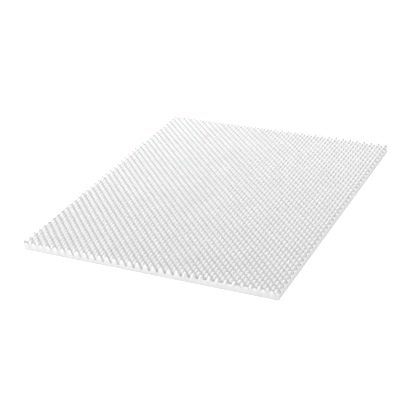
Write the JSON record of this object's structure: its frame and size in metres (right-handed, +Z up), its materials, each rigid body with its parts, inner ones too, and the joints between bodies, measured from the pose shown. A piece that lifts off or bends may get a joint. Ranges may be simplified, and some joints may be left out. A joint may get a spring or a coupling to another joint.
{
  "type": "mattress topper",
  "caption": "Flat convoluted foam mattress topper: a rectangular slab with a flat underside, straight cut sides and staggered peaks and pits on top.",
  "frame": {"origin": "middle of the flat underside", "axes": "+X across the width, +Y along the length, +Z up out of the peaks"},
  "size_m": [1.6, 2, 0.06],
  "materials": {
    "foam": "matte open-cell foam"
  },
  "bodies": {
    "root": {"foam_slab": "foam"}
  },
  "joints": []
}
